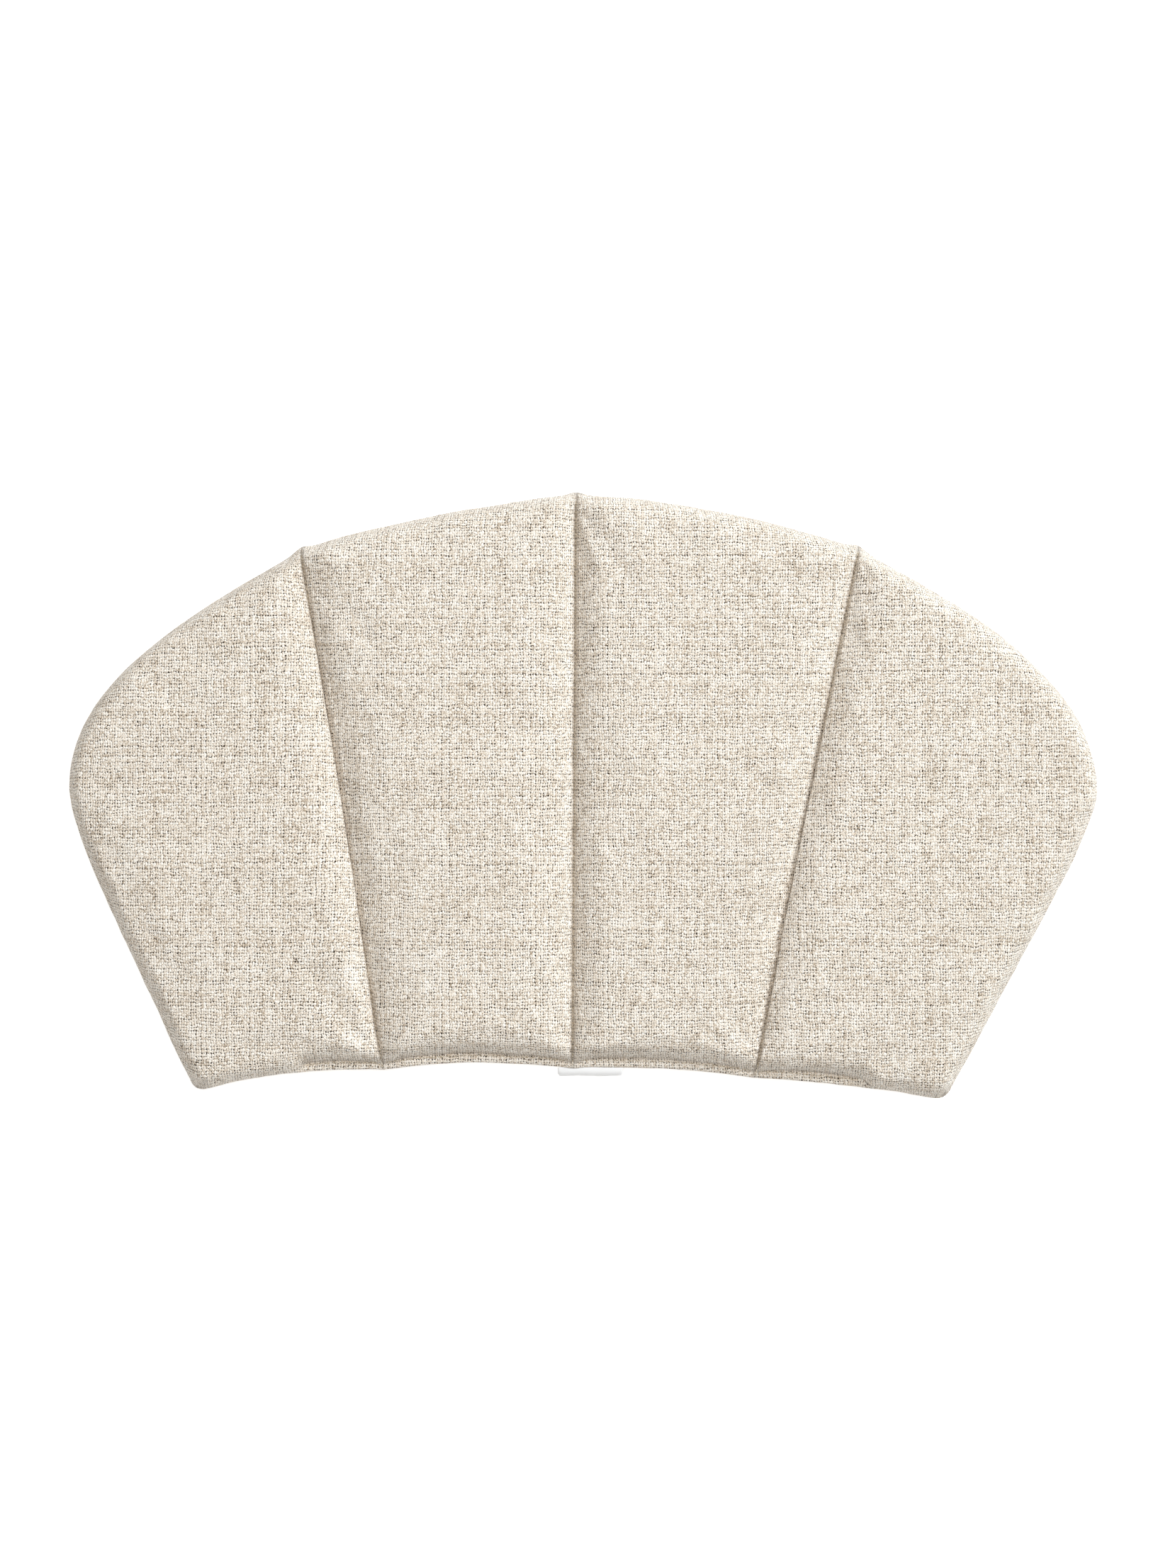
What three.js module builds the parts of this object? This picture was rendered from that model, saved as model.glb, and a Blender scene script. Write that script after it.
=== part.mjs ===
// Fan-shaped chair pad with four foam-filled channels, as a three.js scene graph in millimetres.
// It lies on its back: +Z up through the thickness, +Y towards the arched edge, +X to the right.
// Two sheets of cloth are sewn together round the edge and along three fold lines that fan out.
// Each of the four channels holds a foam core under a layer of wadding, and turns about its fold line.
import * as THREE from 'three';

// Overall size. Plan positions below are measured from the bottom edge's lowest corner, about y = 0.
const padWidth = 580;
const padLength = 340;
const padThickness = 22;

// Layers, from outside to inside.
const clothThickness = 0.9;
const waddingThickness = 3;
const layerClearance = 0.3;

// The seam plane, where the face cloth and the back cloth are sewn together.
const seamHeight = 7.5;
const seamGap = 0.9;
const foldGap = 0.8; // from a fold line to the cloth on either side of it
const foldLip = 0.9; // flat cloth beside a fold line before the filling starts
const edgeLip = 1.5; // flat cloth round the turned edge
const hemWidth = 5; // flat hem that closes the bottom edge

// How far the cloth takes to climb from a seam to the full thickness.
const faceShoulder = { fold: 17, edge: 11 };
const backShoulder = { fold: 9, edge: 7 };
const shoulderAngles = [0, 20, 42, 65, 90];

// The three fold lines. Each top end hangs a set drop below the top of the arch.
const foldLines = {
  left: { bottom: [-112.5, 16], topX: -159, drop: 31 },
  centre: { bottom: [-6, 16.8], topX: -4, drop: 0 },
  right: { bottom: [96.5, 11.5], topX: 155, drop: 30 },
};

// The rounded lobes at the two ends of the fan.
const lobes = {
  left: { side: -1, corner: [-219, 4], widestY: 175, bend: 20, rise: 61, reach: 62.4, fall: 35.4 },
  right: { side: 1, corner: [204, -1], widestY: 173, bend: 17, rise: 61, reach: 63.9, fall: 33.8 },
};
const lobeStraightness = 0.74; // how far the lobe's side runs straight towards its widest point
const cornerRounding = 6;

// The arch between the fold lines: how long each end keeps its own direction.
const arches = {
  left: { outerReach: 36.5, outerRise: 15.6, crownReach: 19.4 },
  right: { outerReach: 55.5, outerRise: 18.7, crownReach: 44.3 },
};

// The bottom edge bows up a little between its fold lines and corners.
const hemBow = { outerLeft: 4, innerLeft: 3.6, innerRight: 2.3, outerRight: 1.7 };
const turnedEnd = { left: 66, right: 48 }; // bottom edge sewn from each corner before the open hem starts
const hemRunout = 8; // over which the hem narrows into the turned edge

// Threads, round in section.
const threadSides = 6;
const foldThreadRadius = 0.45;
const edgeThreadRadius = 0.15;
const edgeThreadInset = 0.8;
const hemThreadRadius = 0.35;
const hemThreadInset = 3.8;
const foldThreadEnd = 3; // how far a fold's thread stops short of each edge

// The care label, a doubled tape that leaves the hem and droops to the surface the pad lies on.
const labelWidth = 36.8;
const labelCentreX = 4;
const labelThickness = 0.6;
const labelReach = 4.3;
const labelRootGap = 0.4;
const labelFloorGap = 0.4;

// How finely the curved edges are cut.
const lobeSteps = 8;
const archSteps = 7;
const hemSteps = 5;
const cornerSteps = 3;
const cornerMargin = 12; // lets the shoulders turn a corner that isn't square
const cornerClearance = foldGap + foldLip + faceShoulder.fold + cornerMargin;

// ---------------------------------------------------------------- materials

function makeMaterial(color, roughness) {
  return new THREE.MeshStandardMaterial({ color, roughness, metalness: 0 });
}

const materials = {
  cloth: makeMaterial(0xd8cbb8, 0.92),
  foam: makeMaterial(0xf2ecd6, 0.95),
  wadding: makeMaterial(0xf7f6f2, 0.98),
  thread: makeMaterial(0xb9a88c, 0.7),
  label: makeMaterial(0xfafafa, 0.45),
};

// ---------------------------------------------------------------- outline

function foldEnds(line) {
  return {
    bottom: new THREE.Vector2(...line.bottom),
    top: new THREE.Vector2(line.topX, padLength - line.drop),
  };
}

const folds = {
  left: foldEnds(foldLines.left),
  centre: foldEnds(foldLines.centre),
  right: foldEnds(foldLines.right),
};

// A lobe's two curves: its side from the corner to the widest point, then over to the fold's top.
function lobeCurves(lobe, foldTop) {
  const corner = new THREE.Vector2(...lobe.corner);
  const widest = new THREE.Vector2((lobe.side * padWidth) / 2, lobe.widestY);
  const bend = new THREE.Vector2(widest.x, widest.y - lobe.bend);
  const shoulder = new THREE.Vector2(foldTop.x + lobe.side * lobe.reach, foldTop.y - lobe.fall);
  return {
    corner,
    side: new THREE.CubicBezierCurve(corner, corner.clone().lerp(bend, lobeStraightness), bend, widest),
    upper: new THREE.CubicBezierCurve(
      widest, new THREE.Vector2(widest.x, widest.y + lobe.rise), shoulder, foldTop),
  };
}

// The arch from an outer fold's top to the crown, which is the centre fold's top.
function archCurve(arch, foldTop, crown) {
  const towards = Math.sign(crown.x - foldTop.x);
  return new THREE.CubicBezierCurve(
    foldTop,
    new THREE.Vector2(foldTop.x + towards * arch.outerReach, foldTop.y + arch.outerRise),
    new THREE.Vector2(crown.x - towards * arch.crownReach, crown.y),
    crown,
  );
}

// A stretch of the bottom edge, bowed up at its middle.
function hemCurve(from, to, bow) {
  const middle = from.clone().lerp(to, 0.5);
  middle.y += 2 * bow;
  return new THREE.QuadraticBezierCurve(from, middle, to);
}

const lobeSides = {
  left: lobeCurves(lobes.left, folds.left.top),
  right: lobeCurves(lobes.right, folds.right.top),
};
const bottom = {
  outerLeft: hemCurve(lobeSides.left.corner, folds.left.bottom, hemBow.outerLeft),
  innerLeft: hemCurve(folds.left.bottom, folds.centre.bottom, hemBow.innerLeft),
  innerRight: hemCurve(folds.centre.bottom, folds.right.bottom, hemBow.innerRight),
  outerRight: hemCurve(folds.right.bottom, lobeSides.right.corner, hemBow.outerRight),
};

// An edge is a run of points. hem says how much of each point's lip is hem, from 0 to 1.
function edgeOf(kind, points, hem = points.map(() => 0)) {
  return { kind, points, hem };
}

function foldEdge(from, to) {
  return edgeOf('fold', [from, to]);
}

// Points along a curve. A clear stretch holds none, so that the shoulders can turn the corner at that end.
function pointsAlong(curve, steps, clearStart, clearEnd) {
  const length = curve.getLength();
  const inner = length - clearStart - clearEnd;
  const firstInner = clearStart > 0 ? 0 : 1;
  const lastInner = clearEnd > 0 ? steps : steps - 1;
  const distances = [0];
  for (let i = firstInner; i <= lastInner; i++) distances.push(clearStart + (inner * i) / steps);
  distances.push(length);
  return distances.map((distance) => curve.getPointAt(distance / length));
}

function lobeSide(curve) {
  return edgeOf('edge', pointsAlong(curve, lobeSteps, 0, 0));
}

function lobeTop(curve) {
  return edgeOf('edge', pointsAlong(curve, lobeSteps, 0, cornerClearance));
}

function archEdge(curve) {
  return edgeOf('edge', pointsAlong(curve, archSteps, cornerClearance, cornerClearance));
}

function hemEdge(curve) {
  const points = pointsAlong(curve, hemSteps, cornerClearance, cornerClearance);
  return edgeOf('edge', points, points.map(() => 1));
}

// The bottom edge of an outer channel: turned from the corner, then hem up to the fold.
function partHemEdge(curve, turnedLength, cornerFirst) {
  const length = curve.getLength();
  const places = [0, turnedLength / 2, turnedLength, turnedLength + hemRunout, length]
    .map((distance) => distance / length);
  const hem = [0, 0, 0, 1, 1];
  if (!cornerFirst) {
    places.forEach((place, i) => (places[i] = 1 - place));
    places.reverse();
    hem.reverse();
  }
  return edgeOf('edge', places.map((place) => curve.getPointAt(place)), hem);
}

function reversed(edge) {
  return edgeOf(edge.kind, [...edge.points].reverse(), [...edge.hem].reverse());
}

// Each channel's edges, anticlockwise from the left end of its bottom edge.
const channels = {
  outer_left: [
    partHemEdge(bottom.outerLeft, turnedEnd.left, true),
    foldEdge(folds.left.bottom, folds.left.top),
    reversed(lobeTop(lobeSides.left.upper)),
    reversed(lobeSide(lobeSides.left.side)),
  ],
  inner_left: [
    hemEdge(bottom.innerLeft),
    foldEdge(folds.centre.bottom, folds.centre.top),
    reversed(archEdge(archCurve(arches.left, folds.left.top, folds.centre.top))),
    foldEdge(folds.left.top, folds.left.bottom),
  ],
  inner_right: [
    hemEdge(bottom.innerRight),
    foldEdge(folds.right.bottom, folds.right.top),
    archEdge(archCurve(arches.right, folds.right.top, folds.centre.top)),
    foldEdge(folds.centre.top, folds.centre.bottom),
  ],
  outer_right: [
    partHemEdge(bottom.outerRight, turnedEnd.right, false),
    lobeSide(lobeSides.right.side),
    lobeTop(lobeSides.right.upper),
    foldEdge(folds.right.top, folds.right.bottom),
  ],
};

// The unit normal that points into the channel, for an anticlockwise outline.
function inward(from, to) {
  const along = to.clone().sub(from).normalize();
  return new THREE.Vector2(-along.y, along.x);
}

// A channel's points in order, each with what it needs to know of the edge before it and after it.
function outlineOf(edges) {
  const points = edges.flatMap((edge) => edge.points.slice(0, -1).map((at, i) => ({
    at, kind: edge.kind, hem: edge.hem[i], hemNext: edge.hem[i + 1],
  })));
  const outline = points.map((point, i) => {
    const last = points[(i + points.length - 1) % points.length];
    const next = points[(i + 1) % points.length];
    return {
      at: point.at,
      before: { normal: inward(last.at, point.at), kind: last.kind, hem: last.hemNext },
      after: { normal: inward(point.at, next.at), kind: point.kind, hem: point.hem },
    };
  });
  return outline.flatMap(roundedCorner);
}

// A corner between two turned edges becomes an arc of points, each with its outward direction.
function roundedCorner(point) {
  const { before, after } = point;
  const turn = Math.acos(THREE.MathUtils.clamp(before.normal.dot(after.normal), -1, 1));
  if (before.kind === 'fold' || after.kind === 'fold' || turn < 1) return [point];
  return Array.from({ length: cornerSteps + 1 }, (_, i) => ({
    ...point,
    outward: before.normal.clone().negate().rotateAround(new THREE.Vector2(), (turn * i) / cornerSteps),
  }));
}

// Where the lines an inset inside the edge before a point and inside the edge after it meet.
function insetPoint(point, insetBefore, insetAfter) {
  if (point.outward) {
    const radius = Math.max(cornerRounding - insetBefore, 1);
    const centre = linesMeet(point, insetBefore + radius, insetAfter + radius);
    return centre.addScaledVector(point.outward, radius);
  }
  return linesMeet(point, insetBefore, insetAfter);
}

function linesMeet(point, insetBefore, insetAfter) {
  const a = point.before.normal;
  const b = point.after.normal;
  const cross = a.x * b.y - a.y * b.x;
  if (Math.abs(cross) < 1e-3) {
    return point.at.clone().addScaledVector(a, (insetBefore + insetAfter) / 2);
  }
  return new THREE.Vector2(
    point.at.x + (insetBefore * b.y - insetAfter * a.y) / cross,
    point.at.y + (insetAfter * a.x - insetBefore * b.x) / cross,
  );
}

// ---------------------------------------------------------------- cross-section

function lipOf(stretch) {
  if (stretch.kind === 'fold') return foldGap + foldLip;
  return THREE.MathUtils.lerp(edgeLip, hemWidth, stretch.hem);
}

// The outermost point of the cloth at a height above (face) or below (back) the seam plane.
function brim(height) {
  return (stretch) => ({ inset: stretch.kind === 'fold' ? foldGap : 0, z: seamHeight + height });
}

// The root of the flat lip, moved into the channel by depth.
function lipRoot(height, depth) {
  return (stretch) => ({ inset: lipOf(stretch) + depth, z: seamHeight + height });
}

// A point on the rounded shoulder, a quarter ellipse from the lip to the flat, moved in by depth.
function shoulder(side, degrees, depth) {
  const angle = THREE.MathUtils.degToRad(degrees);
  const widths = side > 0 ? faceShoulder : backShoulder;
  const lipZ = side * (seamGap / 2 + clothThickness);
  const rise = (side > 0 ? padThickness - seamHeight : seamHeight) - Math.abs(lipZ);
  return (stretch) => {
    const width = widths[stretch.kind];
    const length = Math.hypot(rise * Math.cos(angle), width * Math.sin(angle));
    return {
      inset: lipOf(stretch) + width * (1 - Math.cos(angle)) + (depth * rise * Math.cos(angle)) / length,
      z: seamHeight + lipZ + side * (rise * Math.sin(angle) - (depth * width * Math.sin(angle)) / length),
    };
  };
}

// All the points of one ring round a channel.
function ringOf(outline, section) {
  return outline.map((point) => {
    const before = section(point.before);
    const after = section(point.after);
    const place = insetPoint(point, before.inset, after.inset);
    return new THREE.Vector3(place.x, place.y, (before.z + after.z) / 2);
  });
}

// A closed body skinned over rings that all have the same number of points, with a flat cap at each end.
function skin(rings) {
  const count = rings[0].length;
  const positions = rings.flatMap((ring) => ring.flatMap((point) => point.toArray()));
  const index = [];
  for (let r = 0; r < rings.length - 1; r++) {
    for (let i = 0; i < count; i++) {
      const a = r * count + i;
      const b = r * count + ((i + 1) % count);
      index.push(a, b, b + count, a, b + count, a + count);
    }
  }
  const last = (rings.length - 1) * count;
  THREE.ShapeUtils.triangulateShape(rings[0], []).forEach(([a, b, c]) => index.push(c, b, a));
  THREE.ShapeUtils.triangulateShape(rings[rings.length - 1], []).forEach(([a, b, c]) =>
    index.push(last + a, last + b, last + c));
  const geometry = new THREE.BufferGeometry();
  geometry.setAttribute('position', new THREE.Float32BufferAttribute(positions, 3));
  geometry.setIndex(index);
  geometry.computeVertexNormals();
  return geometry;
}

// The shoulder's rings from the lip to the flat, or back again.
function shoulderRings(outline, side, depth, angles) {
  return angles.map((degrees) => ringOf(outline, shoulder(side, degrees, depth)));
}

const climbing = shoulderAngles;
const descending = [...shoulderAngles].reverse();

// The cloth over the face of one channel: an upturned tray with a flat brim.
function faceCloth(outline) {
  return skin([
    ...shoulderRings(outline, 1, clothThickness, descending),
    ringOf(outline, lipRoot(seamGap / 2, clothThickness)),
    ringOf(outline, brim(seamGap / 2)),
    ringOf(outline, brim(seamGap / 2 + clothThickness)),
    ...shoulderRings(outline, 1, 0, climbing),
  ]);
}

// The cloth under the back of one channel: a shallow tray with a flat brim.
function backCloth(outline) {
  return skin([
    ...shoulderRings(outline, -1, 0, descending),
    ringOf(outline, brim(-seamGap / 2 - clothThickness)),
    ringOf(outline, brim(-seamGap / 2)),
    ringOf(outline, lipRoot(-seamGap / 2, clothThickness)),
    ...shoulderRings(outline, -1, clothThickness, climbing),
  ]);
}

const waddingDepth = clothThickness + layerClearance;
const foamFaceDepth = waddingDepth + waddingThickness + layerClearance;
const foamBackDepth = clothThickness + layerClearance;

// The wadding lies over the foam's face and shoulders.
function waddingLayer(outline) {
  return skin([
    ...shoulderRings(outline, 1, waddingDepth + waddingThickness, descending),
    ...shoulderRings(outline, 1, waddingDepth, climbing),
  ]);
}

// The foam core, cut to the channel and rounded by the cloth pulled over it.
function foamCore(outline) {
  return skin([
    ...shoulderRings(outline, -1, foamBackDepth, descending),
    ...shoulderRings(outline, 1, foamFaceDepth, climbing),
  ]);
}

// ---------------------------------------------------------------- threads and label

function threadAlong(points, radius) {
  const section = new THREE.Shape(
    Array.from({ length: threadSides }, (_, i) => {
      const angle = (2 * Math.PI * i) / threadSides;
      return new THREE.Vector2(radius * Math.cos(angle), radius * Math.sin(angle));
    }),
  );
  return new THREE.ExtrudeGeometry(section, {
    extrudePath: points.length > 2 ? new THREE.CatmullRomCurve3(points) : new THREE.LineCurve3(...points),
    steps: 2 * (points.length - 1),
    bevelEnabled: false,
  });
}

// The points of a channel's outline that lie on its turned edge (hem 0) or its open hem (hem 1), in order.
function runOf(outline, hem) {
  const onRun = (point) => [point.before, point.after]
    .some((stretch) => stretch.kind === 'edge' && stretch.hem === hem);
  const start = outline.findIndex((point, i) =>
    onRun(point) && !onRun(outline[(i + outline.length - 1) % outline.length]));
  return outline.map((_, i) => outline[(start + i) % outline.length]).filter(onRun);
}

// A line of thread a set distance inside the edge, which stops that far from a fold's gap too.
function edgeThread(outline, hem, inset, z, radius) {
  const insetOf = (stretch) => inset + (stretch.kind === 'fold' ? foldGap : 0);
  const places = runOf(outline, hem).map((point) => {
    const place = insetPoint(point, insetOf(point.before), insetOf(point.after));
    return new THREE.Vector3(place.x, place.y, z);
  });
  return threadAlong(places, radius);
}

function foldThread(fold) {
  const along = fold.top.clone().sub(fold.bottom).normalize();
  const from = fold.bottom.clone().addScaledVector(along, foldThreadEnd);
  const to = fold.top.clone().addScaledVector(along, -foldThreadEnd);
  return threadAlong(
    [new THREE.Vector3(from.x, from.y, seamHeight), new THREE.Vector3(to.x, to.y, seamHeight)],
    foldThreadRadius,
  );
}

// The label's side view, a strip along a quarter ellipse that drops from the hem, drawn out along X.
function labelStrip() {
  const drop = seamHeight - labelFloorGap;
  const half = labelThickness / 2;
  const shape = new THREE.Shape();
  shape.absellipse(0, -drop, labelReach, drop + half, 0, Math.PI / 2, false);
  shape.absellipse(0, -drop, labelReach - labelThickness, drop - half, Math.PI / 2, 0, true);
  const strip = new THREE.ExtrudeGeometry(shape, { depth: labelWidth, bevelEnabled: false, curveSegments: 5 });
  strip.rotateX(Math.PI / 2);
  strip.rotateZ(-Math.PI / 2);
  return strip;
}

// ---------------------------------------------------------------- assembly

function piece(name, geometry, material) {
  const mesh = new THREE.Mesh(geometry, material);
  mesh.name = name;
  return mesh;
}

const hemThreadZ = seamHeight + seamGap / 2 + clothThickness + layerClearance + hemThreadRadius;
const pad = new THREE.Group();

for (const [name, edges] of Object.entries(channels)) {
  const outline = outlineOf(edges);
  pad.add(
    piece(`face_cloth_${name}`, faceCloth(outline), materials.cloth),
    piece(`back_cloth_${name}`, backCloth(outline), materials.cloth),
    piece(`wadding_${name}`, waddingLayer(outline), materials.wadding),
    piece(`foam_core_${name}`, foamCore(outline), materials.foam),
    piece(`edge_seam_${name}`, edgeThread(outline, 0, edgeThreadInset, seamHeight, edgeThreadRadius),
      materials.thread),
    piece(`hem_stitching_${name}`, edgeThread(outline, 1, hemThreadInset, hemThreadZ, hemThreadRadius),
      materials.thread),
  );
}

for (const [name, fold] of Object.entries(folds)) {
  pad.add(piece(`fold_stitching_${name}`, foldThread(fold), materials.thread));
}

const label = piece('care_label', labelStrip(), materials.label);
label.position.set(labelCentreX + labelWidth / 2, folds.centre.bottom.y - labelRootGap, seamHeight);
pad.add(label);

// Centre the pad over the origin, with its back on z = 0.
const middle = new THREE.Box3().setFromObject(pad).getCenter(new THREE.Vector3());
pad.position.set(-middle.x, -middle.y, 0);

const chairPad = new THREE.Group();
chairPad.add(pad);
export default chairPad;
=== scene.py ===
import math

import bpy
import numpy as np
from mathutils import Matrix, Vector


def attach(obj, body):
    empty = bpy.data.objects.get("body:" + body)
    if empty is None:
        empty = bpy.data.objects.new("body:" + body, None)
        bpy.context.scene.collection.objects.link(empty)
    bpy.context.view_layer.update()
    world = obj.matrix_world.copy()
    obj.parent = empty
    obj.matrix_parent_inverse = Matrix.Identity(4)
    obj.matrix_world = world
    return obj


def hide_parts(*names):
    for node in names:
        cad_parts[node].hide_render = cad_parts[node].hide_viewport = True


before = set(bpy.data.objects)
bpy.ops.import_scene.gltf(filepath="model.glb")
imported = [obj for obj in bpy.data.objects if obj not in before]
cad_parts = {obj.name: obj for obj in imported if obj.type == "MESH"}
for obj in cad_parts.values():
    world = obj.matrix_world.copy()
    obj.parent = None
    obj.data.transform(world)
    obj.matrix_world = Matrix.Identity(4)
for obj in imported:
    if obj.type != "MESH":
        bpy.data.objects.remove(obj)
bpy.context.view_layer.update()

# The pad is drawn in millimetres, flat on its back, with y counted up from its lowest corner.
# patternMiddle moves that drawing onto the frame, whose origin is under the middle of the pad.
pad = {
    "width": 580,
    "patternMiddle": (0, 169.8275),
    "seamHeight": 7.5,       # where face and back are sewn together
    "faceRise": 14.3,        # from the seam up to the flat of the face
    "backDrop": 7.3,         # from the seam down to the flat of the back
    "crown": 1.5,            # how much the middle of a channel stands above its edges
    "faceFoldWidth": 17,     # shoulder beside a fold line
    "faceEdgeWidth": 12,
    "backFoldWidth": 10,
    "backEdgeWidth": 8,
    "foldGap": 0.04,         # a cover stops this far short of a fold line, so folded covers don't cross on it
    "backRoom": 0.54,        # tangent of the half angle kept clear below a fold line, for folding toward the back
    "creaseHalf": 0.25,      # flat strip that the stitches lie in, each side of a fold line
    "hemWidth": 5.2,
    "hemThickness": 2.4,
    "cornerRounding": 6.5,
    "foldTipBump": 1.8,      # the edge stands out where a fold line reaches it, with no foam there
    "edgeWander": 0.35,
    "floorClearance": 0.15,  # lowest that the back cloth hangs
}

# lean is how far the lips of the groove bow to one side of the straight row of stitches below them
folds = {
    "left": {"bottom": (-112.5, 16), "top": (-159, 309), "lean": (3.3, 0)},
    "centre": {"bottom": (-6, 16.8), "top": (-4, 340), "lean": (0, 0)},
    "right": {"bottom": (96.5, 11.5), "top": (155, 310), "lean": (-2.9, -0.9)},
}

lobes = {
    "left": {"side": -1, "corner": (-219, 4), "widestY": 175, "bend": 20, "rise": 61, "reach": 62.4, "fall": 35.4},
    "right": {"side": 1, "corner": (204, -1), "widestY": 173, "bend": 17, "rise": 61, "reach": 63.9, "fall": 33.8},
}
lobeStraightness = 0.74

arches = {
    "left": {"outerReach": 36.5, "outerRise": 15.6, "crownReach": 19.4},
    "right": {"outerReach": 55.5, "outerRise": 18.7, "crownReach": 44.3},
}

hemBow = {"outerLeft": 4, "innerLeft": 3.6, "innerRight": 2.3, "outerRight": 1.7}


def smoothStep(low, high, value):
    t = np.clip((value - low) / (high - low), 0, 1)
    return t * t * (3 - 2 * t)


def softNoise(x, y, size, seed):
    # Even, repeatable unevenness between -1 and 1: random heights on a lattice, eased between.
    heights = np.random.RandomState(seed).uniform(-1, 1, (97, 97))
    u, v = np.asarray(x, float) / size + 31.7, np.asarray(y, float) / size + 17.3
    i, j = np.floor(u).astype(int), np.floor(v).astype(int)
    a, b = u - i, v - j
    a, b = a * a * (3 - 2 * a), b * b * (3 - 2 * b)
    i0, i1, j0, j1 = i % 97, (i + 1) % 97, j % 97, (j + 1) % 97
    low = heights[i0, j0] * (1 - a) + heights[i1, j0] * a
    high = heights[i0, j1] * (1 - a) + heights[i1, j1] * a
    return low * (1 - b) + high * b


def bezier(controls, count=240):
    points = [np.outer(np.ones(count), c) for c in controls]
    t = np.linspace(0, 1, count)[:, None]
    while len(points) > 1:
        points = [a * (1 - t) + b * t for a, b in zip(points, points[1:])]
    return points[0]


def lengthsAlong(line):
    steps = np.hypot(*np.diff(line, axis=0).T)
    return np.concatenate([[0], np.cumsum(steps)])


def alongLine(line, shares):
    lengths = lengthsAlong(line)
    return np.stack([np.interp(shares * lengths[-1], lengths, line[:, k]) for k in (0, 1)], 1)


def nearLine(points, line):
    # Distance from each point to a line, how far along it the nearest place is, and the way back in from there.
    start, step = line[:-1], np.diff(line, axis=0)
    squared = (step ** 2).sum(1)
    lengths = lengthsAlong(line)
    away, along, inwards = np.empty(len(points)), np.empty(len(points)), np.empty_like(points)
    for low in range(0, len(points), 6000):
        p = points[low:low + 6000, None]
        t = np.clip(((p - start) * step).sum(2) / squared, 0, 1)
        offset = p - start - t[..., None] * step
        distance = np.hypot(offset[..., 0], offset[..., 1])
        k = distance.argmin(1)
        rows = np.arange(len(k))
        away[low:low + 6000] = distance[rows, k]
        along[low:low + 6000] = lengths[k] + t[rows, k] * np.sqrt(squared[k])
        inwards[low:low + 6000] = offset[rows, k] / np.maximum(distance[rows, k], 1e-3)[:, None]
    return away, along, inwards


def foldLine(name):
    # From the bottom edge to the tip that stands out of the arch.
    low, high = (np.array(folds[name][end], float) for end in ("bottom", "top"))
    direction = (high - low) / np.hypot(*(high - low))
    return np.array([low, high + direction * pad["foldTipBump"]])


def wander(line, seed, ends=8):
    # A sewn edge is never a perfect curve. The wander dies out towards the ends.
    lengths = lengthsAlong(line)
    tangent = np.gradient(line, axis=0)
    normal = np.stack([-tangent[:, 1], tangent[:, 0]], 1) / np.hypot(*tangent.T)[:, None]
    fade = smoothStep(0, ends, lengths) * smoothStep(0, ends, lengths[-1] - lengths)
    amount = softNoise(lengths, 0 * lengths, 21, seed) + 0.5 * softNoise(lengths, 0 * lengths, 8, seed + 1)
    return line + normal * (pad["edgeWander"] * amount * fade)[:, None]


def bumpedEnd(line, name, atStart):
    # Carries the end of an arch out to its fold's tip.
    low, high = foldLine(name)
    direction = (high - low) / np.hypot(*(high - low))
    lengths = lengthsAlong(line)
    away = lengths if atStart else lengths[-1] - lengths
    return line + direction * (pad["foldTipBump"] * np.exp(-(away / 6) ** 2))[:, None]


def roundedCorner(first, second, corner):
    # Two lines that start at one corner are made to start at the middle of a rounding instead.
    ends = [np.array([np.interp(pad["cornerRounding"], lengthsAlong(line), line[:, k]) for k in (0, 1)])
            for line in (first, second)]
    arc = bezier([ends[0], np.array(corner, float), ends[1]], 25)
    cut = [line[lengthsAlong(line) > pad["cornerRounding"] + 0.5] for line in (first, second)]
    return np.vstack([arc[12::-1], cut[0]]), np.vstack([arc[12:], cut[1]])


def lobeLines(side):
    lobe = lobes[side]
    top = np.array(folds[side]["top"], float)
    corner = np.array(lobe["corner"], float)
    widest = np.array([lobe["side"] * pad["width"] / 2, lobe["widestY"]])
    bend = widest - (0, lobe["bend"])
    shoulder = top + (lobe["side"] * lobe["reach"], -lobe["fall"])
    sideLine = bezier([corner, corner + (bend - corner) * lobeStraightness, bend, widest])
    upperLine = bezier([widest, widest + (0, lobe["rise"]), shoulder, top])
    return wander(sideLine, 40 + lobe["side"]), bumpedEnd(wander(upperLine, 50 + lobe["side"]), side, False)


def archLine(side):
    arch = arches[side]
    outer, crown = (np.array(folds[name]["top"], float) for name in (side, "centre"))
    inwards = np.sign(crown[0] - outer[0])
    line = bezier([outer, outer + (inwards * arch["outerReach"], arch["outerRise"]),
                   crown - (inwards * arch["crownReach"], 0), crown])
    line = wander(line, 60 + int(inwards))
    return bumpedEnd(bumpedEnd(line, side, True), "centre", False)


def bottomLine(start, end, bow, seed):
    start, end = np.array(start, float), np.array(end, float)
    middle = (start + end) / 2 + (0, 2 * bow)
    return wander(bezier([start, middle, end]), seed)


leftSide, leftUpper = lobeLines("left")
rightSide, rightUpper = lobeLines("right")
leftBottom, leftSide = roundedCorner(
    bottomLine(lobes["left"]["corner"], folds["left"]["bottom"], hemBow["outerLeft"], 71), leftSide,
    lobes["left"]["corner"])
rightBottom, rightSide = roundedCorner(
    bottomLine(lobes["right"]["corner"], folds["right"]["bottom"], hemBow["outerRight"], 72), rightSide,
    lobes["right"]["corner"])

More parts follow.
